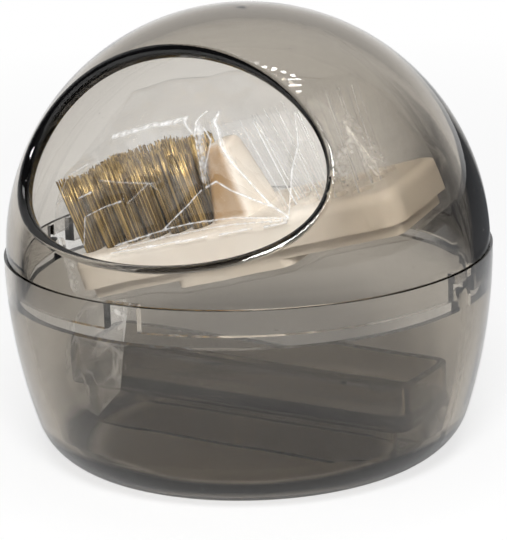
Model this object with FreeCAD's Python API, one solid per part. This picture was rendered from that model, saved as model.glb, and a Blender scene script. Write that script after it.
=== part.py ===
import FreeCAD, Part
import math
import os
from FreeCAD import Placement, Rotation, Vector

# A ball-shaped clear case in two halves. It holds a two-sided brush for cleaning nail drill bits:
# brass wire on the left, nylon on the right, with a finger grip between them. The bit goes in
# through the oval opening at the front. The brush lies aslant in its clear film wrapper.
# Millimetres. The origin is at the middle of the foot, +Z is up and the opening faces -Y.

# The case
ball_radius = 50.0
dome_wall = 3.4
bowl_height = 43.7
bowl_rim_lip = 0.5
bowl_wall = 3.0
foot_radius = 33.0
side_arc_radius = 115.0

# The oval opening, cut along a line that rises from the middle of the ball
opening_half_width = 33.6
opening_half_height = 22.4
opening_rise_deg = 36.8
opening_edge_radius = 1.3

# The joint between the halves: the cover's skirt sits inside the bowl's thinner rim
rim_depth = 8.0
skirt_depth = 5.5
shoulder_width = 1.1
cover_clearance = 0.2
seam_chamfer = 0.25

# The skirt's notches: at the two sides with a tongue above a boss, at front and back plain
latch_notch_width = 8.8
tongue_width = 5.7
tongue_height = 2.4
boss_width = 4.6
boss_height = 4.2
plain_notch_width = 7.4

# The holder: a shallow tray on a hollow plinth
tray_end_gap = 1.65
tray_width = 24.0
tray_corner = 4.0
tray_wall = 1.8
tray_rim_height = 20.7
tray_recess_depth = 5.7
tray_floor = 3.0
plinth_end_inset = 3.4
plinth_side_inset = 2.0
plinth_corner = 3.0
plinth_wall = 2.0
plinth_clearance = 0.1

# The brush block, in its own frame: the origin is at the middle of its top face. Below it is the plug
# that fits the tray, and the keel is the plug's deeper middle.
block_end_inset = 0.4
block_height = 6.8
block_corner = 4.0
block_edge_radius = 2.2
plug_height = 2.6
plug_clearance = 0.4
keel_depth = 4.4
keel_left = 17.0
keel_right = 12.5
keel_corner = 3.0

# The finger grip, moulded with the block, tapers towards its rounded top
grip_middle = -0.2
grip_foot_width = 9.8
grip_foot_depth = 14.0
grip_top_width = 5.2
grip_top_depth = 8.0
grip_height = 15.5
grip_edge_radius = 2.2
grip_top_radius = 1.9

# The tufts, in three straight rows
tuft_radius = 2.2
row_side_margin = 6.6
brass_count = 6
nylon_count = 4
nylon_tip_gap = 4.2
brass_shorter = 2.0
tip_spread = 0.35
brass_end_margin = 3.9
brass_grip_gap = 2.8
nylon_grip_gap = 8.4
nylon_end_margin = 9.2
hole_depth = 6.0
tuft_clearance = 0.05
anchor_thickness = 0.3
anchor_height = 1.6
anchor_lift = 1.0
anchor_clearance = 0.05

# How the brush lies in the case
brush_tilt_deg = 16.5
brush_lean_deg = 7.0
brush_cover_gap = 2.07

# The film wrapper: a sleeve with its mouth at the brass end, and a bunched tail over the holder's end
film_thickness = 0.3
film_gap = 0.4
film_seat_gap = 0.3
brush_rise = 1.2
tail_reach = 16.0
tail_drop = 6.5
tail_thickness = 1.2
tail_back = 7.0
bunch_near = 20.0
bunch_far = 34.0
bunch_width = 18.0

seam_z = bowl_height
ball_centre = Vector(0, 0, seam_z)
dome_inner_radius = ball_radius - dome_wall
skirt_outer_radius = ball_radius - shoulder_width
rim_inner_radius = skirt_outer_radius + cover_clearance
bowl_rim_radius = ball_radius + bowl_rim_lip


def side_radius_at(z, inset):
    """The bowl side's radius at a height, moved inwards by inset."""
    return bowl_rim_radius - side_arc_radius + math.sqrt((side_arc_radius - inset) ** 2 - (seam_z - z) ** 2)


def tray_half_length(underside_z):
    """Half the tray's length, where its round corners keep their gap to the bowl's side."""
    reach = side_radius_at(underside_z, bowl_wall) - tray_end_gap - tray_corner
    return tray_corner + math.sqrt(reach ** 2 - (tray_width / 2 - tray_corner) ** 2)


tray_underside = tray_rim_height - tray_recess_depth - tray_floor
tray_length = 2 * tray_half_length(tray_underside)
block_length = tray_length - 2 * block_end_inset
block_width = tray_width
plug_bottom = -block_height - plug_height
block_bottom = -block_height - keel_depth

# The tuft fields fill the block's top from the grip to the margins at its ends and sides
brass_first = -block_length / 2 + brass_end_margin
brass_last = grip_middle - grip_foot_width / 2 - brass_grip_gap
brass_pitch = (brass_last - brass_first) / (brass_count - 1)
nylon_first = grip_middle + grip_foot_width / 2 + nylon_grip_gap
nylon_last = block_length / 2 - nylon_end_margin
nylon_pitch = (nylon_last - nylon_first) / (nylon_count - 1)
row_pitch = block_width / 2 - row_side_margin

# The brush lies with its raised end under the cover, and its nylon tips stop short of the cover
brush_turn = Rotation(Vector(0, 1, 0), -brush_tilt_deg) * Rotation(Vector(1, 0, 0), brush_lean_deg)
raised_corner = brush_turn.multVec(Vector(block_length / 2, block_width / 2, 0))
corner_radius = math.hypot(raised_corner.x, raised_corner.y)
corner_height = math.sqrt((dome_inner_radius - brush_cover_gap) ** 2 - corner_radius ** 2)
brush_over_seam = Vector(0, 0, corner_height - raised_corner.z)
brush_place = Placement(ball_centre + brush_over_seam, brush_turn)
tuft_way = brush_turn.multVec(Vector(0, 0, 1))
nylon_root = brush_turn.multVec(Vector(nylon_last, -row_pitch, 0)) + brush_over_seam
root_rise = nylon_root.dot(tuft_way)
tip_reach = dome_inner_radius - nylon_tip_gap
nylon_length = math.sqrt(root_rise ** 2 - nylon_root.Length ** 2 + tip_reach ** 2) - root_rise
brass_length = nylon_length - brass_shorter


# Shared shapes

def polyline(points):
    """Straight edges through (radius, height) points in the X-Z plane."""
    spots = [Vector(r, 0, z) for r, z in points]
    return [Part.makeLine(a, b) for a, b in zip(spots, spots[1:])]


def arc(centre, radius, start_deg, end_deg):
    """An arc in the X-Z plane round a (radius, height) centre."""
    angles = [math.radians(a) for a in (start_deg, (start_deg + end_deg) / 2, end_deg)]
    spots = [Vector(centre[0] + radius * math.cos(a), 0, centre[1] + radius * math.sin(a)) for a in angles]
    return Part.Arc(*spots).toShape()


def turned(edges):
    """A solid turned about the Z axis from a closed outline."""
    face = Part.Face(Part.Wire(Part.__sortEdges__(edges)))
    return face.revolve(Vector(0, 0, 0), Vector(0, 0, 1), 360)


def slab(length, width, corner, z_low, z_high):
    """An upright block with round corners, centred on the Z axis."""
    box = Part.makeBox(length, width, z_high - z_low, Vector(-length / 2, -width / 2, z_low))
    return box.makeFillet(corner, steep_edges(box, (z_high - z_low) / 2))


def steep_edges(solid, least_rise):
    """The edges whose two ends differ in height by more than least_rise."""
    return [e for e in solid.Edges if abs(e.Vertexes[0].Point.z - e.Vertexes[-1].Point.z) > least_rise]


def side_box(width, z_low, z_high, near, far, turn_deg):
    """A block that spans near to far from the Z axis along +X, then turned about Z."""
    box = Part.makeBox(far - near, width, z_high - z_low, Vector(near, -width / 2, z_low))
    box.rotate(Vector(0, 0, 0), Vector(0, 0, 1), turn_deg)
    return box


# Bowl: two tangent arcs make its side, and the wall keeps their centres

def foot_arc_radius():
    """The radius at the foot that meets the side arc and the flat foot smoothly."""
    reach = bowl_rim_radius - side_arc_radius - foot_radius
    return (reach ** 2 + bowl_height ** 2 - side_arc_radius ** 2) / (2 * (bowl_height - side_arc_radius))


def bowl_side(inset, z_top):
    """The bowl's side from the flat foot up to z_top, moved inwards by inset."""
    side_centre = (bowl_rim_radius - side_arc_radius, seam_z)
    foot_centre = (foot_radius, foot_arc_radius())
    join = math.degrees(math.atan2(foot_centre[1] - side_centre[1], foot_centre[0] - side_centre[0]))
    top = math.degrees(math.asin((z_top - seam_z) / (side_arc_radius - inset)))
    return [arc(foot_centre, foot_arc_radius() - inset, -90, join),
            arc(side_centre, side_arc_radius - inset, join, top)]


def make_bowl():
    ledge_z = seam_z - rim_depth
    ledge_radius = side_radius_at(ledge_z, bowl_wall)
    edges = polyline([(0, bowl_wall), (0, 0), (foot_radius, 0)])
    edges += bowl_side(0, seam_z)
    edges += polyline([(bowl_rim_radius, seam_z), (rim_inner_radius, seam_z), (rim_inner_radius, ledge_z),
                       (ledge_radius, ledge_z)])
    edges += bowl_side(bowl_wall, ledge_z)
    edges += polyline([(foot_radius, bowl_wall), (0, bowl_wall)])
    bowl = turned(edges)
    for turn_deg in (0, 180):
        bowl = bowl.fuse(latch_boss(ledge_z, ledge_radius, turn_deg))
    return bowl.removeSplitter()


def latch_boss(ledge_z, ledge_radius, turn_deg):
    """A round-topped boss that stands on the ledge, under the cover's tongue."""
    straight = boss_height - boss_width / 2
    depth = rim_inner_radius - ledge_radius
    post = Part.makeBox(depth, boss_width, straight, Vector(ledge_radius, -boss_width / 2, ledge_z))
    top = Vector(ledge_radius, 0, ledge_z + straight)
    head = Part.makeCylinder(boss_width / 2, depth, top, Vector(1, 0, 0))
    boss = post.fuse(head)
    ring = Part.makeCylinder(rim_inner_radius, rim_depth, Vector(0, 0, ledge_z))
    boss = boss.common(ring)
    boss.rotate(Vector(0, 0, 0), Vector(0, 0, 1), turn_deg)
    return boss


# Cover: a half ball with its oval opening and the skirt that drops into the bowl's rim

def make_cover():
    shoulder_radius = math.sqrt(ball_radius ** 2 - seam_chamfer ** 2)
    rise = math.degrees(math.asin(seam_chamfer / ball_radius))
    skirt_z = seam_z - skirt_depth
    edges = polyline([(dome_inner_radius, seam_z), (dome_inner_radius, skirt_z),
                      (skirt_outer_radius, skirt_z), (skirt_outer_radius, seam_z),
                      (ball_radius - seam_chamfer, seam_z),
                      (shoulder_radius, seam_z + seam_chamfer)])
    edges.append(arc((0, seam_z), ball_radius, rise, 90))
    edges += polyline([(0, seam_z + ball_radius), (0, seam_z + dome_inner_radius)])
    edges.append(arc((0, seam_z), dome_inner_radius, 0, 90))
    cover = turned(edges).cut(opening_tool())
    cover = cover.makeFillet(opening_edge_radius, opening_edges(cover))
    for turn_deg in (0, 180):
        cover = cover.cut(skirt_notch(latch_notch_width, turn_deg).cut(tongue_space(turn_deg)))
    for turn_deg in (90, 270):
        cover = cover.cut(skirt_notch(plain_notch_width, turn_deg))
    return cover


def opening_place():
    """The opening's own frame: X across, Y up the slope of the ball, Z out of the opening."""
    return Placement(ball_centre, Rotation(Vector(1, 0, 0), 90 - opening_rise_deg))


def opening_tool():
    """An oval bar from the middle of the ball out through the front of the cover."""
    oval = Part.Ellipse(Vector(0, 0, 0), opening_half_width, opening_half_height)
    tool = Part.Face(Part.Wire(oval.toShape())).extrude(Vector(0, 0, ball_radius + dome_wall))
    tool.Placement = opening_place()
    return tool


def opening_edges(cover):
    """The inner and outer edges of the opening, which are rounded off."""
    to_opening = opening_place().inverse()
    found = []
    for edge in cover.Edges:
        spot = to_opening.multVec(edge.valueAt((edge.FirstParameter + edge.LastParameter) / 2))
        off = (spot.x / opening_half_width) ** 2 + (spot.y / opening_half_height) ** 2
        if spot.z > 0 and abs(off - 1) < 0.01:
            found.append(edge)
    return found


def skirt_notch(width, turn_deg):
    """A notch through the whole height of the skirt."""
    low = seam_z - skirt_depth - 1
    return side_box(width, low, seam_z, dome_inner_radius - 2, skirt_outer_radius + 1, turn_deg)


def tongue_space(turn_deg):
    """Where the skirt is left standing in its notch, as a short tongue above the bowl's boss."""
    low = seam_z - tongue_height
    return side_box(tongue_width, low, seam_z, dome_inner_radius - 3, skirt_outer_radius + 2, turn_deg)


# Holder: stands on the bowl's floor and carries the brush in its tray

def make_holder():
    underside = tray_underside
    recess_floor = underside + tray_floor
    tray = slab(tray_length, tray_width, tray_corner, underside, tray_rim_height)
    recess = slab(tray_length - 2 * tray_wall, tray_width - 2 * tray_wall, tray_corner - tray_wall,
                  recess_floor, tray_rim_height + 1)
    plinth_length = tray_length - 2 * plinth_end_inset
    plinth_width = tray_width - 2 * plinth_side_inset
    plinth = slab(plinth_length, plinth_width, plinth_corner, bowl_wall, underside)
    hollow = slab(plinth_length - 2 * plinth_wall, plinth_width - 2 * plinth_wall,
                  plinth_corner - plinth_wall / 2, bowl_wall - 1, underside)
    holder = tray.cut(recess).fuse(plinth.cut(hollow)).removeSplitter()
    return holder.common(bowl_inside(plinth_clearance))


def bowl_inside(clearance):
    """The space inside the bowl, kept clear of its curved side but not of its flat floor."""
    inset = bowl_wall + clearance
    z_top = seam_z - rim_depth
    edges = polyline([(0, z_top), (0, bowl_wall), (foot_radius, bowl_wall), (foot_radius, inset)])
    edges += bowl_side(inset, z_top)
    edges += polyline([(side_radius_at(z_top, inset), z_top), (0, z_top)])
    return turned(edges)


# Brush: modelled level in its own frame, and laid aslant at the end

def tuft_places():
    """Name and (x, y) place of each tuft, with the length of its wires."""
    places = []
    rows = (("front", -row_pitch), ("middle", 0.0), ("back", row_pitch))
    fields = (("brass", brass_first, brass_pitch, brass_count, brass_length),
              ("nylon", nylon_first, nylon_pitch, nylon_count, nylon_length))
    for row, y in rows:
        for kind, first, pitch, count, length in fields:
            for i in range(count):
                name = "{}_tuft_{}_{}".format(kind, row, i + 1)
                places.append((name, first + i * pitch, y, length))
    return places


def grip_outline(width, depth, z):
    """One level outline of the grip."""
    left = grip_middle - width / 2
    right = grip_middle + width / 2
    corners = [(left, -depth / 2), (right, -depth / 2), (right, depth / 2), (left, depth / 2)]
    corners.append(corners[0])
    return Part.makePolygon([Vector(x, y, z) for x, y in corners])


def make_grip():
    """A tapered block, rounded along its upright edges and then round its top."""
    foot = -block_edge_radius
    spread = (grip_foot_width - grip_top_width) * foot / grip_height
    body = Part.makeLoft([grip_outline(grip_foot_width - spread, grip_foot_depth - spread, foot),
                          grip_outline(grip_top_width, grip_top_depth, grip_height)], True, True)
    body = body.makeFillet(grip_edge_radius, steep_edges(body, grip_height / 2))
    return body.makeFillet(grip_top_radius, [e for e in body.Edges if e.BoundBox.ZMin > grip_height - 0.01])


def make_block():
    body = slab(block_length, block_width, block_corner, -block_height, 0)
    top_edges = [e for e in body.Edges if min(v.Point.z for v in e.Vertexes) > -0.01]
    body = body.makeFillet(block_edge_radius, top_edges)
    plug_length = tray_length - 2 * tray_wall - 2 * plug_clearance
    plug_width = tray_width - 2 * tray_wall - 2 * plug_clearance
    plug = slab(plug_length, plug_width, tray_corner - tray_wall - plug_clearance, plug_bottom, -block_height)
    keel = slab(keel_left + keel_right, plug_width, keel_corner, block_bottom, -block_height)
    keel.translate(Vector((keel_right - keel_left) / 2, 0, 0))
    body = body.fuse(plug).fuse(keel).fuse(make_grip()).removeSplitter()
    holes = [Part.makeCylinder(tuft_radius + tuft_clearance, hole_depth + 1, Vector(x, y, -hole_depth))
             for name, x, y, length in tuft_places()]
    return body.cut(holes)


def make_anchor(x, y, extra):
    """The flat metal strip that a tuft is folded round, grown by extra for its slot."""
    width = 2 * (tuft_radius + tuft_clearance) - anchor_clearance + 2 * extra
    thick = anchor_thickness + 2 * extra
    return Part.makeBox(width, thick, anchor_height + 2 * extra,
                        Vector(x - width / 2, y - thick / 2, -hole_depth + anchor_lift - extra))


def make_tuft(x, y, length):
    """A bundle of wires: straight in its hole and slightly spread towards the tip."""
    stem = Part.makeCylinder(tuft_radius, hole_depth, Vector(x, y, -hole_depth))
    spray = Part.makeCone(tuft_radius, tuft_radius + tip_spread, length, Vector(x, y, 0))
    return stem.fuse(spray).removeSplitter().cut(make_anchor(x, y, anchor_clearance))


# Film wrapper

def film_space(grow, mouth):
    """The brush's own box, grown on all sides, run out past its mouth and kept inside the cover."""
    low = block_bottom - film_gap - grow
    high = nylon_length + film_gap + grow
    left = -block_length / 2 - film_gap - grow - mouth
    right = block_length / 2 + film_gap + grow
    width = block_width + 2 * (film_gap + grow)
    box = Part.makeBox(right - left, width, high - low, Vector(left, -width / 2, low))
    box.Placement = brush_place
    reach = dome_inner_radius - film_seat_gap - brush_rise - film_thickness + grow
    return box.common(Part.makeSphere(reach, ball_centre))


def film_tail():
    """A soft cap that hangs over the holder's left end, and the bunched film under the brush."""
    cap = tail_thickness + film_seat_gap
    outer = slab(tray_length + 2 * cap, tray_width + 2 * cap, tray_corner + cap,
                 tray_rim_height - tail_drop, tray_rim_height + cap)
    inner = slab(tray_length + 2 * film_seat_gap, tray_width + 2 * film_seat_gap, tray_corner + film_seat_gap,
                 tray_rim_height - tail_drop - 1, tray_rim_height + film_seat_gap)
    end = -tray_length / 2 - cap
    front = -tray_width / 2 - cap
    keep = Part.makeBox(tail_reach + cap, tray_width / 2 + cap + tail_back, seam_z, Vector(end, front, 0))
    bunch = Part.makeBox(bunch_far - bunch_near, bunch_width, ball_radius,
                         Vector(-bunch_far, tail_back - bunch_width, tray_rim_height + film_seat_gap))
    above = Part.makeBox(2 * ball_radius, 2 * ball_radius, 2 * ball_radius,
                         Vector(-ball_radius, -ball_radius, block_bottom - film_gap - film_thickness / 2))
    above.Placement = brush_place
    return outer.cut(inner).common(keep), bunch.cut(above)


def make_film():
    sleeve = film_space(film_thickness, 0)
    inner = film_space(0, film_thickness + 1)
    return sleeve.fuse(list(film_tail())).cut(inner).removeSplitter()


def laid(shape):
    """The same shape, moved from the brush's own frame to where the brush lies."""
    moved = shape.copy()
    moved.Placement = brush_place.multiply(moved.Placement)
    return moved


nodes = {
    "base_bowl": make_bowl(),
    "dome_cover": make_cover(),
    "brush_holder": make_holder(),
    "brush_block": laid(make_block()),
    "film_wrap": make_film(),
}
for name, x, y, length in tuft_places():
    nodes[name] = laid(make_tuft(x, y, length))
anchors = [make_anchor(x, y, 0) for name, x, y, length in tuft_places()]
nodes["tuft_anchors"] = laid(Part.makeCompound(anchors))

os.makedirs("parts", exist_ok=True)
for name, shape in nodes.items():
    shape.exportStep("parts/" + name + ".step")
    state = "valid" if shape.isValid() else "INVALID"
    print(name, len(shape.Solids), "solids", round(shape.Volume, 1), "mm3", state)
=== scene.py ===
import math
import random

import bpy
import numpy
from mathutils import Matrix, Vector, noise


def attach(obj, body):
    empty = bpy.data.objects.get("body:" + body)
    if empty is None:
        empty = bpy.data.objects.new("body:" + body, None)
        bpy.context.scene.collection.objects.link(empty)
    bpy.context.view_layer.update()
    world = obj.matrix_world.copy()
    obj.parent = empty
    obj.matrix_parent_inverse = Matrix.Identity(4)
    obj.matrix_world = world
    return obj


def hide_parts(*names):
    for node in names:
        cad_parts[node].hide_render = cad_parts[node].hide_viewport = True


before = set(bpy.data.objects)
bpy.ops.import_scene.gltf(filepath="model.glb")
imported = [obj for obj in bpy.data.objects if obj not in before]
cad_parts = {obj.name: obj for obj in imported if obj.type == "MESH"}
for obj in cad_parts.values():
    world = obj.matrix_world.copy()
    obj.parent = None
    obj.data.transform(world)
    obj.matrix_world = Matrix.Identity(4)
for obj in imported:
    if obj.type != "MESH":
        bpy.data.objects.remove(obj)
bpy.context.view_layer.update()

# Camera: on a stand in front of the case, a little to its right and above it, looking at the middle
# of the ball's seam. A long lens keeps the ball round.
seam_height = 0.0437
camera_distance = 0.600
camera_turn = math.radians(30.7)
camera_rise = math.radians(14.9)
camera_roll = math.radians(1.885)
towards = Vector((math.sin(camera_turn) * math.cos(camera_rise), -math.cos(camera_turn) * math.cos(camera_rise),
                  math.sin(camera_rise)))
level_right = Vector((math.cos(camera_turn), math.sin(camera_turn), 0))
level_up = towards.cross(level_right)
camera_right = math.cos(camera_roll) * level_right - math.sin(camera_roll) * level_up
camera_up = math.sin(camera_roll) * level_right + math.cos(camera_roll) * level_up
lens = bpy.data.cameras.new("camera")
lens.lens = 193.2
lens.sensor_width = 36
lens.shift_x = 0.0099
lens.shift_y = -0.0496
lens.clip_start = 0.01
camera = bpy.data.objects.new("camera", lens)
camera.matrix_world = Matrix((camera_right, camera_up, towards)).transposed().to_4x4()
camera.matrix_world.translation = Vector((0, 0, seam_height)) + camera_distance * towards
bpy.context.scene.collection.objects.link(camera)
bpy.context.scene.camera = camera


# Bowl: the lower half of the case, moulded in smoke-tinted clear plastic and polished. The tint is in
# the plastic itself, so it is darker where more of it is looked through. It stands on its flat foot.

class Value:
    """A number or colour that varies over a surface. Plain arithmetic on numbers adds its nodes."""

    def __init__(self, paint, socket):
        self.paint, self.socket = paint, socket

    def math(self, operation, first, second):
        return self.paint.add("Math", {"operation": operation}, {0: first, 1: second})

    def __add__(self, other):
        return self.math("ADD", self, other)

    def __sub__(self, other):
        return self.math("SUBTRACT", self, other)

    def __rsub__(self, other):
        return self.math("SUBTRACT", other, self)

    def __mul__(self, other):
        return self.math("MULTIPLY", self, other)

    def __truediv__(self, other):
        return self.math("DIVIDE", self, other)

    def __pow__(self, other):
        return self.math("POWER", self, other)

    def at_least(self, other):
        return self.math("MAXIMUM", self, other)

    def at_most(self, other):
        return self.math("MINIMUM", self, other)

    __radd__ = __add__
    __rmul__ = __mul__


class Paint:
    """One finish, put together node by node on a material, or on the world."""

    def __init__(self, owner):
        self.owner = owner
        owner.use_nodes = True
        self.tree = owner.node_tree
        self.tree.nodes.clear()

    def add(self, kind, settings=None, sockets=None, out=0):
        """One node: its settings first, then a value or a link for each socket."""
        node = self.tree.nodes.new("ShaderNode" + kind)
        for name, setting in (settings or {}).items():
            if name == "stops":
                ramp = node.color_ramp.elements
                while len(ramp) < len(setting):
                    ramp.new(0.5)
                for stop, (place, colour) in zip(ramp, setting):
                    stop.position, stop.color = place, (*colour, 1)
            else:
                setattr(node, name, setting)
        for name, value in (sockets or {}).items():
            if isinstance(value, Value):
                self.tree.links.new(value.socket, node.inputs[name])
            else:
                node.inputs[name].default_value = value
        return Value(self, node.outputs[out])

    def place(self):
        """The point on the piece, in metres."""
        return self.add("TexCoord", out="Object")

    def cloud(self, scale, detail=2.0, place=None, roughness=0.5):
        """Soft random patches, 0 to 1, about 1/scale metres across."""
        return self.add("TexNoise", {}, {"Vector": place or self.place(), "Scale": scale, "Detail": detail,
                                         "Roughness": roughness})

    def between(self, value, low, high):
        """Stretches value so that low becomes 0 and high becomes 1, and holds it there."""
        return self.add("MapRange", {"clamp": True}, {"Value": value, "From Min": low, "From Max": high})

    def blend(self, share, first, second, way="MIX"):
        """Goes from the first colour to the second as share goes from 0 to 1."""
        return self.add("Mix", {"data_type": "RGBA", "blend_type": way}, {0: share, 6: first, 7: second}, out=2)

    def along(self, vector, way):
        """How far a point or a direction reaches along way."""
        return self.add("VectorMath", {"operation": "DOT_PRODUCT"}, {0: vector, 1: way}, out="Value")

    def clear_view(self):
        """1 where the surface is seen through clear plastic or in a gloss, 0 by eye or by scattered light."""
        path = self.add("LightPath", out="Is Transmission Ray") + self.add("LightPath", out="Is Glossy Ray")
        scattered = self.add("LightPath", out="Diffuse Depth")
        return path * (1 - scattered.at_most(1))

    def bump(self, height, distance, strength=1.0, under=None):
        """A relief of the height given, in metres, on top of the one under it."""
        sockets = {"Strength": strength, "Distance": distance, "Height": height}
        if under:
            sockets["Normal"] = under
        return self.add("Bump", {}, sockets)

    def finish(self, surface, volume=None, kind="OutputMaterial"):
        """Joins the shaders to the output, and gives the finished material or world."""
        node = self.tree.nodes.new("ShaderNode" + kind)
        self.tree.links.new(surface.socket, node.inputs["Surface"])
        if volume:
            self.tree.links.new(volume.socket, node.inputs["Volume"])
        return self.owner


def new_paint(name):
    return Paint(bpy.data.materials.new(name))


smoke_tint = (0.25, 0.155, 0.0, 1)
plastic_ior = 1.49


def smoke_plastic(name, density, passed):
    """Polished clear plastic with a grey-brown tint through its thickness: faint flow marks, marks from
    handling and a few pips of dust. Each face lets the share passed of a lamp's light through."""
    paint = new_paint(name)
    place = paint.place()
    flow = paint.cloud(38, 2.0, place)
    handling = paint.between(paint.cloud(160, 4.0, place, 0.6), 0.5, 0.75)
    specks = paint.add("TexVoronoi", {}, {"Vector": place, "Scale": 330.0, "Randomness": 1.0}, out="Distance")
    pips = 1 - paint.between(specks, 0.03, 0.09)
    sparse = paint.between(paint.cloud(70, 1.0, place), 0.60, 0.66)
    waves = paint.bump(flow, 0.0006, 0.25)
    skin = paint.bump(pips * sparse, 0.00008, 0.6, under=waves)
    clear = paint.add("BsdfPrincipled", {}, {
        "Base Color": (1, 1, 1, 1), "Roughness": handling * 0.05 + 0.012, "IOR": plastic_ior,
        "Transmission Weight": 1.0, "Normal": skin})
    shade = paint.add("BsdfTransparent", {}, {"Color": (passed, passed, passed, 1)})
    for_shadows = paint.add("LightPath", out="Is Shadow Ray")
    surface = paint.add("MixShader", {}, {0: for_shadows, 1: clear, 2: shade})
    tint = paint.add("VolumeAbsorption", {}, {"Color": smoke_tint, "Density": density})
    return paint.finish(surface, tint)


def dress(node, material):
    """Gives a CAD node its finish."""
    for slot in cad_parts[node].material_slots:
        slot.material = material


bowl_density = 184.0
dress("base_bowl", smoke_plastic("smoke_bowl", bowl_density, passed=0.40))

# Holder: a low tray on a hollow plinth, moulded in the same smoke-tinted plastic. It stands on the
# bowl's floor and takes the brush's foot.
holder_density = 350.0
dress("brush_holder", smoke_plastic("smoke_holder", holder_density, passed=0.60))

# Brush block: one beige moulding, with the finger grip between the two fields of tufts. It is satin,
# with faint flow marks. The grip's front and its brass side are painted brown: partly brass dust, partly painted
# shade and brass-coloured bounce light from the tufts beside it.
brush_tilt = math.radians(-16.5)
brush_lean = math.radians(7.0)
brush_middle = (0, 0, 0.050979)
brush_frame = (Matrix.Translation(brush_middle) @ Matrix.Rotation(brush_tilt, 4, "Y")
               @ Matrix.Rotation(brush_lean, 4, "X"))
brush_up = (-0.282, -0.122, 0.952)
brush_front = (-0.34, -0.92, 0.05)
beige_shade, beige = (0.80, 0.715, 0.61, 1), (0.86, 0.79, 0.69, 1)
brass_dust_and_shade = (0.40, 0.24, 0.10, 1)

block = new_paint("block_beige")
place = block.place()
mottle = block.cloud(60, 4.0, place)
grain = block.cloud(900, 3.0, place)
across = block.add("SeparateXYZ", {}, {"Vector": place}, out="X")
near_brass = 1 - block.between(across, -0.0075, 0.0005)
facing = block.along(block.add("TexCoord", out="Normal"), brush_front)
above = block.along(place, brush_up)
on_grip = block.between(above, 0.0480, 0.0497) * (1 - block.between(across, 0.0045, 0.0085))
# The grip's front face, picked by which way it faces, is painted brown as painted shade and brass bounce light; the
# brown clouds on its brass side are partly brass dust, partly the same painted shade.
grip_front_shade = block.between(facing, 0.35, 0.85) * on_grip
dust_and_painted_shade = block.between(block.cloud(240, 5.0, place, 0.7), 0.35, 0.75) * near_brass * on_grip + grip_front_shade
plain = block.blend(block.between(mottle, 0.3, 0.7), beige_shade, beige)
dusted_and_shaded = block.blend(dust_and_painted_shade * 0.85, plain, brass_dust_and_shade)
skin = block.bump(mottle, 0.0004, 0.3, under=block.bump(grain, 0.00005, 0.5))
dress("brush_block", block.finish(block.add("BsdfPrincipled", {}, {
    "Base Color": dusted_and_shaded, "Roughness": block.between(grain, 0.0, 1.0) * 0.2 + 0.38,
    "Specular IOR Level": 0.4, "Normal": skin})))

# Anchors: short strips cut from flat metal wire. Each holds a tuft down in its hole.
strip_dark, strip_light = (0.50, 0.49, 0.46, 1), (0.70, 0.69, 0.66, 1)
strip = new_paint("anchor_metal")
brushed = strip.add("TexNoise", {}, {"Vector": strip.place(), "Scale": 1800.0, "Detail": 3.0})
dress("tuft_anchors", strip.finish(strip.add("BsdfPrincipled", {}, {
    "Base Color": strip.blend(brushed, strip_dark, strip_light), "Metallic": 1.0,
    "Roughness": brushed * 0.3 + 0.25, "Normal": strip.bump(brushed, 0.00002, 0.6)})))

# Brass tufts: fine brass wires, folded round their anchors and cut off a little unevenly. Each bundle
# opens out slightly towards its tip. The wires are painted darker towards their feet: painted shade between the
# tufts, with some grime.
tuft_radius = 0.0022
row_pitch = 0.0054
rows = (("front", -row_pitch), ("middle", 0.0), ("back", row_pitch))
brass_first = -0.0361
brass_pitch = 0.00564
brass_length = 0.01747
brass_shorter = (0.90, 0.96, 1.0, 1.0, 1.0, 0.98)
wire_count = 84
wire_radius = 0.00014
brass_dark, brass_light = (0.17, 0.10, 0.028, 1), (0.98, 0.70, 0.27, 1)
brass_tarnish = (0.16, 0.095, 0.030, 1)
brass_grime_and_shade = (0.09, 0.055, 0.020, 1)
draw = random.Random(11)


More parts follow.
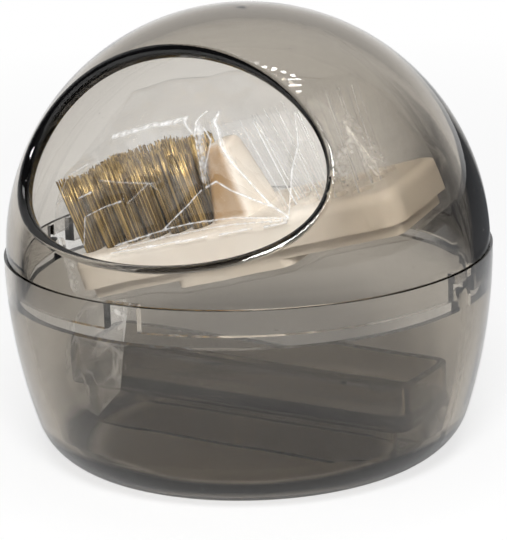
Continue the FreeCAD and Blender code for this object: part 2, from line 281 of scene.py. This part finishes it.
def bundle(name, foot, count, strand_radius, length, sides, ragged, spread, wild, slant=0.0):
    """Strands that stand in one hole, as one mesh. ragged is how unevenly they are cut, spread how far
    the bundle opens, wild how far single strands stray, and slant how far all of them lean along the
    block. Each strand has a number from 0 to 1 for its own shade."""
    golden_angle = 2.39996
    strays = 0.12
    bowed = 0.00005
    points, faces, shades = [], [], []
    lean = Vector((draw.gauss(slant, 0.024), draw.gauss(0, 0.020), 0))
    cut = draw.uniform(-0.05, 0.05)
    for i in range(count):
        reach = (tuft_radius - strand_radius) * math.sqrt((i + 0.5) / count)
        angle = i * golden_angle + draw.uniform(-0.3, 0.3)
        out = Vector((math.cos(angle), math.sin(angle), 0))
        start = foot + out * reach
        tall = length * (1 + cut - abs(draw.gauss(0, ragged)))
        stray = wild if draw.random() < strays else 0.35 * wild
        aim = (lean + out * (spread * reach / tuft_radius)
               + Vector((draw.gauss(0, stray), draw.gauss(0, stray), 0)))
        bow = Vector((draw.gauss(0, bowed), draw.gauss(0, bowed), 0))
        shade = draw.random()
        base = len(points)
        rises = (-0.003, 0.0, 0.3 * tall, 0.65 * tall, tall)
        for z in rises:
            t = max(z, 0) / tall
            middle = start + Vector((0, 0, z)) + aim * (tall * t) + bow * math.sin(math.pi * t)
            thin = strand_radius * (0.8 if z == tall else 1.0)
            for k in range(sides):
                turn = 2 * math.pi * k / sides + angle
                points.append(middle + Vector((math.cos(turn), math.sin(turn), 0)) * thin)
                shades.append(shade)
        for ring in range(len(rises) - 1):
            low = base + ring * sides
            for k in range(sides):
                nxt = (k + 1) % sides
                faces.append((low + k, low + nxt, low + sides + nxt, low + sides + k))
        faces.append([base + k for k in reversed(range(sides))])
        faces.append([base + (len(rises) - 1) * sides + k for k in range(sides)])
    mesh = bpy.data.meshes.new(name)
    mesh.from_pydata([brush_frame @ p for p in points], [], faces)
    mesh.attributes.new("shade", "FLOAT", "POINT").data.foreach_set("value", shades)
    mesh.shade_smooth()
    piece = bpy.data.objects.new(name, mesh)
    bpy.context.scene.collection.objects.link(piece)
    return piece


def place_tuft(tuft, node, finish):
    """Gives a bundle its finish, and puts it on the brush in its solid's stead."""
    tuft.data.materials.append(finish)
    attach(tuft, "brush")
    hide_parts(node)


brass = new_paint("brass_wire")
own = brass.add("Attribute", {"attribute_name": "shade"}, {}, out="Fac")
rub = brass.cloud(700, 3.0)
tarnish = brass.between(brass.cloud(120, 3.0), 0.4, 0.7)
bright = brass.blend(own ** 1.5, brass_dark, brass_light)
aged = brass.blend(tarnish * 0.45, bright, brass_tarnish)
# Darker towards the feet of the wires: painted shade between the tufts, with some grime.
feet_shade = 1 - brass.between(brass.along(brass.place(), brush_up), 0.0480, 0.0560)
grimed_and_shaded = brass.blend(feet_shade * 0.45, aged, brass_grime_and_shade)
brass_finish = brass.finish(brass.add("BsdfPrincipled", {}, {
    "Base Color": grimed_and_shaded, "Metallic": 0.75, "Roughness": rub * 0.2 + 0.24,
    "Normal": brass.bump(rub, 0.00003, 0.5)}))

for row, y in rows:
    for i, shorter in enumerate(brass_shorter):
        name = "brass_tuft_{}_{}".format(row, i + 1)
        foot = Vector((brass_first + i * brass_pitch, y, 0))
        wires = bundle(name + "_wires", foot, wire_count, wire_radius, brass_length * shorter, sides=5,
                       ragged=0.06, spread=0.03, wild=0.007)
        place_tuft(wires, name, brass_finish)

# Nylon tufts: thicker clear bristles, folded and held in the same way and cut off level. They lean a
# little towards the grip. A few bristles, picked at random, are painted nearly opaque white along their length as a
# painted highlight, and all are a little more opaque where seen edge-on, a faint painted sheen.
nylon_first = 0.0131
nylon_pitch = 0.0059
nylon_length = 0.01947
nylon_slant = (-0.20, -0.13, -0.06, 0.0)
bristle_count = 26
bristle_radius = 0.00016
nylon_shade, nylon_highlight_white = (0.93, 0.93, 0.92, 1), (1.0, 1.0, 1.0, 1)

nylon = new_paint("nylon_clear")
own = nylon.add("Attribute", {"attribute_name": "shade"}, {}, out="Fac")
worn = nylon.cloud(500, 3.0)
edge_sheen = nylon.add("LayerWeight", {}, {"Blend": 0.5}, out="Facing")
# A few bristles, chosen at random by their shade number, are made nearly opaque white: a painted highlight. Edge-on
# they are a little more opaque: a faint painted sheen.
nylon_finish = nylon.finish(nylon.add("BsdfPrincipled", {}, {
    "Base Color": nylon.blend(own, nylon_shade, nylon_highlight_white), "IOR": 1.5,
    "Roughness": worn * 0.15 + 0.2, "Alpha": own ** 20 * 0.6 + edge_sheen ** 3 * 0.02 + 0.005,
    "Normal": nylon.bump(worn, 0.00002, 0.4)}))
for row, y in rows:
    for i, slant in enumerate(nylon_slant):
        name = "nylon_tuft_{}_{}".format(row, i + 1)
        foot = Vector((nylon_first + i * nylon_pitch, y, 0))
        bristles = bundle(name + "_bristles", foot, bristle_count, bristle_radius, nylon_length, sides=6,
                          ragged=0.03, spread=0.03, wild=0.03, slant=slant)
        place_tuft(bristles, name, nylon_finish)

# Film: the clear wrapper that the brush is sold in, one thin sleeve of film, wide for the brush and
# creased where it was pulled tight. It is sealed at the nylon end. Its open end hangs over the holder. Its creases
# and folds are painted white: partly the whitening of creased film, partly painted highlights and glints.
# Its lines are in millimetres on the block: x along it, z up from its top face.
film_reach = 0.0446
ball_centre = Vector((0, 0, seam_height))
film_side = 12.45
film_foot = 12.1
film_slope = 0.165
film_belt = -0.6
stations = (-41.0, -38, -34, -30, -22, -12, -6, -2, 2, 8, 14, 22, 30, 34, 37, 40.35)
front_fold = (6.0, 12, 17.5, 19.5, 22.6, 23.6, 23.2, 22.4, 21.6, 20.6, 20.4, 20.5, 20.3, 15.5, 9.5, 2.5)
back_fold = (6.0, 13, 20, 24, 28.5, 28.8, 28.0, 27.5, 27.5, 26.5, 24, 21.2, 20.3, 15.5, 9.5, 2.5)
under = (-10.0, -10.0, -10.0, -10.0, -10.2, -11.8, -11.8, -11.8, -11.8, -11.8, -11.6, -10.0, -10.0, -10.0,
         -10.0, -10.0)
# Creases on the front panel, each a raised ridge painted white, partly film whitening and partly a painted
# highlight: how white each is, its half width, and the points (x, z) that it runs through.
creases = (
    (0.95, 0.34, ((5.4, 22.3), (6.1, 19.9), (5.9, 16.2), (7.3, 12.6), (10.5, 7.9), (13.6, 3.0), (17.1, -0.3))),
    (0.70, 0.20, ((14.4, 29.0), (10.1, 27.0), (4.9, 23.8), (1.9, 22.2), (0.7, 19.9), (-0.5, 10.0))),
    (0.85, 0.30, ((-0.1, 8.9), (2.6, 9.6), (5.6, 7.2), (9.7, 4.8), (14.5, 2.0), (17.1, -0.5))),
    (0.75, 0.22, ((24.9, 19.3), (23.6, 12.9), (20.8, 8.4), (17.5, 0.2))),
    (0.75, 0.10, ((-25.8, 1.4), (-13.1, 2.4), (-6.2, 2.6), (5.1, 1.7), (16.8, -0.6))),
    (0.80, 0.10, ((-27.3, 0.1), (16.5, -1.4))),
    (0.55, 0.10, ((-25.6, 0.6), (-12.2, 1.0), (2.9, 0.6), (16.6, -0.9))),
    (0.75, 0.10, ((-13.1, 2.4), (-5.5, 6.2), (-1.5, 8.5))),
    (0.60, 0.10, ((-33.5, 2.9), (-31.4, 8.5), (-26.3, 9.6), (-21.4, 10.0))),
    (0.35, 0.10, ((-25.5, 15.2), (-19.5, 13.6), (-12.3, 12.1))),
    (0.30, 0.10, ((-20.1, 9.3), (-13.5, 12.3), (-11.9, 10.7))),
    (0.95, 0.17, ((-31.6, 12.6), (-28.2, 13.2))),
    (0.60, 0.40, ((-19.4, 22.9), (-9.7, 23.4), (-1.2, 22.6), (0.5, 19.5))),
    (0.35, 0.15, ((-38.0, 12.0), (-33.0, 17.5), (-27.0, 19.0))),
    (0.60, 0.60, ((-40.2, 0.5), (-39.4, 3.5), (-39.6, 6.5))),
    (0.50, 2.40, ((-40.5, -5.0), (-39.0, -1.0), (-38.8, 1.5))),
    (0.55, 0.30, ((3.1, 20.5), (4.0, 17.8), (1.2, 13.2), (0.0, 9.9))),
    (0.50, 1.30, ((1.8, 20.8), (1.0, 16.0), (0.1, 11.0))),
    (0.50, 1.00, ((5.4, 21.3), (6.1, 18.9), (6.2, 15.2), (7.6, 12.2))),
    (0.50, 0.50, ((36.4, 9.3), (37.2, 6.2), (38.6, 3.6))),
    (0.42, 2.60, ((34.3, 13.8), (35.3, 11.6), (33.6, 9.9), (31.6, 8.7))),
    (0.26, 4.50, ((34.5, 14.0), (36.5, 9.5), (38.5, 5.5))),
    (0.38, 2.60, ((30.7, 7.5), (31.9, 4.2))),
)


def along_line(x, z, line):
    """How far, in millimetres, each point is from a broken line on the film's front panel, and which way."""
    nearest = numpy.full(x.shape, 1e9)
    to_x, to_z = numpy.zeros(x.shape), numpy.zeros(x.shape)
    for (x0, z0), (x1, z1) in zip(line, line[1:]):
        run, rise = x1 - x0, z1 - z0
        share = numpy.clip(((x - x0) * run + (z - z0) * rise) / (run * run + rise * rise), 0, 1)
        dx, dz = x0 + share * run - x, z0 + share * rise - z
        closer = numpy.hypot(dx, dz) < nearest
        nearest = numpy.where(closer, numpy.hypot(dx, dz), nearest)
        to_x, to_z = numpy.where(closer, dx, to_x), numpy.where(closer, dz, to_z)
    return nearest, to_x, to_z


def crumple(point, coarse, fine):
    """How far crumpled film stands off its smooth place: flat facets that meet along straight creases."""
    near = noise.voronoi(point / coarse)[0]
    small = noise.voronoi(point / fine)[0]
    return (near[1] - near[0]) * 0.16 * coarse + (small[1] - small[0]) * 0.10 * fine


rings = 330
panels = (30, 100, 36, 36, 10, 22)
snap = 0.14
ridge_reach = 1.6
ridge_height = 0.28
sleeve_crumple = 0.25
flat_side_limit = 0.35
millimetre = 0.001
sleeve_points, sleeve_whitening_and_glints = [], []
for i in range(rings):
    x = stations[0] + (stations[-1] - stations[0]) * i / (rings - 1)
    low = numpy.interp(x, stations, under)
    front = numpy.interp(x, stations, front_fold)
    back = numpy.interp(x, stations, back_fold)
    corners = ((-film_foot, low), (-film_side, film_belt), (-12.35 + film_slope * (front + 0.5), front),
               (7.5, back), (film_side, film_belt), (film_foot, low), (-film_foot, low))
    loop = numpy.array([(a[0] + (b[0] - a[0]) * k / n, a[1] + (b[1] - a[1]) * k / n)
                        for a, b, n in zip(corners, corners[1:], panels) for k in range(n)])
    around = numpy.roll(loop, -1, 0) - numpy.roll(loop, 1, 0)
    outward = numpy.stack([-around[:, 1], around[:, 0]], 1) / numpy.linalg.norm(around, axis=1)[:, None]
    on_front = numpy.arange(len(loop)) < panels[0] + panels[1] + 8
    ridge = numpy.zeros(len(loop))
    white = numpy.zeros(len(loop))
    pull_x = numpy.zeros(len(loop))
    pull_z = numpy.zeros(len(loop))
    xs = numpy.full(len(loop), x)
    for strength, width, line in creases:
        off, to_x, to_z = along_line(xs, loop[:, 1], line)
        ridge = numpy.maximum(ridge, numpy.clip(1 - off / ridge_reach, 0, 1) * on_front)
        white = numpy.maximum(white, strength * numpy.clip(1.0 - off / width, 0, 1) * on_front)
        caught = on_front & (off < snap)
        white = numpy.where(caught, numpy.maximum(white, strength), white)
        pull_x = numpy.where(caught, to_x, pull_x)
        pull_z = numpy.where(caught, to_z, pull_z)
    for k in range(len(loop)):
        flat = Vector((x + pull_x[k], loop[k, 0], loop[k, 1] + pull_z[k]))
        off = sleeve_crumple * crumple(flat, 13.0, 4.5) + ridge_height * ridge[k]
        if flat.z < 0:
            off = min(off, flat_side_limit)
        point = brush_frame @ ((flat + Vector((0, outward[k, 0], outward[k, 1])) * off) * millimetre)
        away = point - ball_centre
        if away.length > film_reach:
            point = ball_centre + away * (film_reach / away.length)
        sleeve_points.append(point)
        # The whiteness flickers along each crease: painted glints.
        glint_flicker = 0.85 + 0.8 * noise.noise(flat * 1.4)
        sleeve_whitening_and_glints.append(float(numpy.clip(white[k] * glint_flicker, 0, 1)))
around_count = sum(panels)
film_faces = []
for i in range(rings - 1):
    for k in range(around_count):
        nxt = (k + 1) % around_count
        film_faces.append((i * around_count + k, i * around_count + nxt, (i + 1) * around_count + nxt,
                           (i + 1) * around_count + k))
seal = brush_frame @ Vector((stations[-1] * millimetre + 0.0002, 0, -0.004))
last = len(sleeve_points) - around_count
previous = last
for share in (0.75, 0.5, 0.25):
    start = len(sleeve_points)
    for k in range(around_count):
        sleeve_points.append(seal.lerp(sleeve_points[last + k], share))
        sleeve_whitening_and_glints.append(0.0)
    for k in range(around_count):
        nxt = (k + 1) % around_count
        film_faces.append((previous + k, previous + nxt, start + nxt, start + k))
    previous = start
sleeve_points.append(seal)
sleeve_whitening_and_glints.append(0.0)
film_faces += [(previous + k, previous + (k + 1) % around_count, len(sleeve_points) - 1)
               for k in range(around_count)]

# The tail, in millimetres of the case: three lines across it, at its top, its side and its hem.
tail_across = (0.0, 0.2, 0.4, 0.6, 0.8, 1.0)
tail_top = ((-36.5, 8.0, 29.4), (-37.4, 0.0, 29.0), (-36.6, -7.0, 29.2), (-32.0, -10.8, 30.2), (-27.5, -12.0, 31.3),
            (-22.0, -12.6, 32.4))
tail_side = ((-42.6, 6.0, 23.0), (-43.4, -3.0, 23.0), (-41.6, -11.5, 23.0), (-35.5, -15.6, 23.0),
             (-28.5, -16.6, 23.0), (-21.5, -15.8, 24.0))
tail_foot = ((-42.3, 5.0, 18.5), (-42.4, -4.5, 15.0), (-39.8, -12.2, 12.5), (-34.0, -16.2, 9.0),
             (-28.0, -17.4, 7.6), (-22.8, -16.2, 13.5))
tail_columns, tail_rows = 110, 64
tail_crumple = 0.35
gather_height = 0.45
fold_seed = 1795640407
noise.seed_set(fold_seed)
tail_start = len(sleeve_points)
for i in range(tail_columns):
    across = i / (tail_columns - 1)
    lines = [Vector([float(numpy.interp(across, tail_across, [p[axis] for p in row])) for axis in range(3)])
             for row in (tail_top, tail_side, tail_foot)]
    for j in range(tail_rows):
        down = j / (tail_rows - 1)
        bend = ((1 - down) ** 2, 2 * down * (1 - down), down ** 2)
        flat = lines[0] * bend[0] + lines[1] * bend[1] + lines[2] * bend[2]
        out = Vector((flat.x + 30, flat.y + 2, 0)).normalized()
        gather = math.sin(across * 38 + 3 * down) * gather_height * (1 - down)
        off = tail_crumple * crumple(flat + Vector((50, 0, 0)), 8.0, 3.0) + gather
        sleeve_points.append((flat + out * off) * millimetre)
        # The tail's folds are painted white, partly whitened film and partly painted highlights, and its hem is
        # painted as a light line, a painted highlight.
        bent = flat + 1.5 * noise.noise_vector(flat * 0.25)
        fold = noise.voronoi(Vector((bent.x, bent.y, bent.z * 0.6)) / 4.0)[0]
        hem_highlight = 0.22 if j > tail_rows - 2 or i > tail_columns - 2 else 0.0
        patchy = 0.5 + noise.noise(flat * 0.2)
        sleeve_whitening_and_glints.append(max(hem_highlight, 0.11 + patchy * max(0.0, 0.32 - 1.8 * (fold[1] - fold[0]))))
for i in range(tail_columns - 1):
    for j in range(tail_rows - 1):
        low = tail_start + i * tail_rows + j
        film_faces.append((low, low + 1, low + tail_rows + 1, low + tail_rows))
film_mesh = bpy.data.meshes.new("film_wrapper")
film_mesh.from_pydata(sleeve_points, [], film_faces)
film_mesh.attributes.new("crease", "FLOAT", "POINT").data.foreach_set("value", sleeve_whitening_and_glints)
film_mesh.shade_smooth()
wrapper = bpy.data.objects.new("film_wrapper", film_mesh)
bpy.context.scene.collection.objects.link(wrapper)

film = new_paint("clear_film")
crease_white_and_glint = film.add("Attribute", {"attribute_name": "crease"}, {}, out="Fac")
cockle = film.cloud(260, 3.0)
facing = film.add("LayerWeight", {}, {"Blend": 0.5}, out="Facing")
gloss = facing ** 4 * 0.45 + 0.09
skin = film.bump(cockle, 0.00012, 0.5)
shine = film.add("BsdfPrincipled", {}, {"Base Color": (1, 1, 1, 1), "Metallic": 1.0, "Roughness": 0.10,
                                        "Normal": skin})
open_film = film.add("BsdfTransparent", {}, {"Color": (1, 1, 1, 1)})
veil = film.add("BsdfPrincipled", {}, {"Base Color": (0.98, 0.98, 0.98, 1), "Roughness": 0.3,
                                       "Specular IOR Level": 1.0})
glazed = film.add("MixShader", {}, {0: gloss, 1: open_film, 2: shine})
# The veil gives the film its faint milky haze, and along the creases their painted white, partly whitened film,
# partly painted highlights and glints.
haze = film.between(film.cloud(90, 3.0), 0.45, 0.8) * 0.10 + 0.02
film_mesh.materials.append(film.finish(film.add("MixShader", {}, {
    0: haze + crease_white_and_glint * 0.9, 1: glazed, 2: veil})))
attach(wrapper, "brush")
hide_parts("film_wrap")

# Cover: the upper half ball with its oval opening, moulded in the same smoke-tinted plastic. Its
# skirt drops into the bowl's rim.
cover_density = 127.0
dress("dome_cover", smoke_plastic("smoke_cover", cover_density, passed=0.66))

# Table and room: white paper under the case and a white wall far behind it. Through the plastic the
# paper and the room are seen white only straight behind the case, as a wall of that width gives, and a ring of
# paper round the foot is painted dark, a painted contact shadow seen only through the plastic.
floor_half = 6.0
floor_drop = -0.0002
corner_ways = ((-1, -1), (1, -1), (1, 1), (-1, 1))
wall_way = (-0.73, 0.68, 0)
paper_white = (0.96, 0.96, 0.96, 1)
white, dim = (1, 1, 1, 1), (0.05, 0.055, 0.065, 1)
table = bpy.data.meshes.new("floor")
table.from_pydata([(x * floor_half, y * floor_half, floor_drop) for x, y in corner_ways], [], [(0, 1, 2, 3)])
floor = bpy.data.objects.new("floor", table)
bpy.context.scene.collection.objects.link(floor)
paper = new_paint("white_paper")
spot = paper.place()
away = paper.add("VectorMath", {"operation": "LENGTH"}, {0: spot}, out="Value")
behind = paper.along(spot, wall_way)
far = paper.between(away, 0.12, 0.45)
beside = (paper.between(away / behind.at_least(0.001), 1.12, 1.36) * paper.between(away, 0.13, 0.20)
          * paper.between(behind, -0.05, 0.05))
# A ring of paper round the foot is shown dark through the plastic only: a painted contact shadow.
painted_contact_shadow = paper.between(away, 0.031, 0.037) * (1 - paper.between(away, 0.042, 0.055)) * 0.6
dark_sides_and_contact_shadow = beside.at_least(painted_contact_shadow)
by_eye = paper.add("LightPath", out="Is Camera Ray")
through = paper.clear_view()
lit = paper.add("BsdfPrincipled", {}, {"Base Color": paper_white, "Roughness": 0.9})
bright = paper.add("Emission", {}, {"Color": white, "Strength": 1.0})
dull = paper.add("Emission", {}, {"Color": dim, "Strength": 1.0})
glow = paper.add("MixShader", {}, {0: through * dark_sides_and_contact_shadow, 1: bright, 2: dull})
share = by_eye * (far * 0.25 + 0.75) + through * far.at_least(dark_sides_and_contact_shadow) * 0.9
table.materials.append(paper.finish(paper.add("MixShader", {}, {0: share, 1: lit, 2: glow})))

wall_middle = (-0.725, 0.68, 0.10)
room_light = (0.11, 0.11, 0.112, 1)
ceiling = (0.06, 0.06, 0.065, 1)
room_round = ((0.0, (0.26, 0.26, 0.27)), (0.35, (0.10, 0.10, 0.11)), (0.63, (0.12, 0.12, 0.13)),
              (0.80, (1.0, 1.0, 1.0)))
studio = Paint(bpy.data.worlds.new("studio"))
toward = studio.add("TexCoord", out="Generated")
room = studio.add("ValToRGB", {"stops": room_round}, {0: studio.along(toward, wall_middle) * 0.5 + 0.5})
height = studio.add("SeparateXYZ", {}, {"Vector": toward}, out="Z")
room = studio.blend(studio.between(height, 0.05, 0.28) * 0.4, room, ceiling)
soft = studio.blend(studio.clear_view(), room_light, room)
by_eye = studio.add("LightPath", out="Is Camera Ray")
backdrop = studio.add("Background", {}, {"Color": studio.blend(by_eye, soft, white), "Strength": 1.0})
bpy.context.scene.world = studio.finish(backdrop, kind="OutputWorld")


def lamp(name, place, width, height, power):
    """A flat soft lamp, in metres and watts, turned to the middle of the case."""
    light = bpy.data.lights.new(name, "AREA")
    light.shape = "RECTANGLE"
    light.size, light.size_y = width, height
    light.energy = power
    stand = bpy.data.objects.new(name, light)
    stand.location = place
    stand.rotation_euler = (lamp_aim - Vector(place)).to_track_quat("-Z", "Y").to_euler()
    bpy.context.scene.collection.objects.link(stand)


# Lamps: a large soft one in front and to the right, and a weak one above. Two rows of small ones
# overhead give the cover its rows of bright dots.
lamp_aim = Vector((0, 0, 0.05))
lamp("key", (0.36, -0.62, 0.66), 0.30, 0.30, 10.5)
lamp("top", (-0.10, 0.10, 0.90), 0.30, 0.20, 0.8)
for i in range(7):
    lamp("row_{}".format(i + 1), (-0.151 + 0.047 * i, 0.200 + 0.009 * i, 0.835), 0.022, 0.022, 0.03)
for i in range(7):
    lamp("side_{}".format(i + 1), (0.155 + 0.033 * i, 0.235 - 0.037 * i, 0.830), 0.014, 0.060, 0.045)

# The clear bristles and the film lie many layers deep, and each layer is looked through.
bpy.context.scene.cycles.transparent_max_bounces = 64
bpy.context.scene.view_settings.view_transform = "Standard"
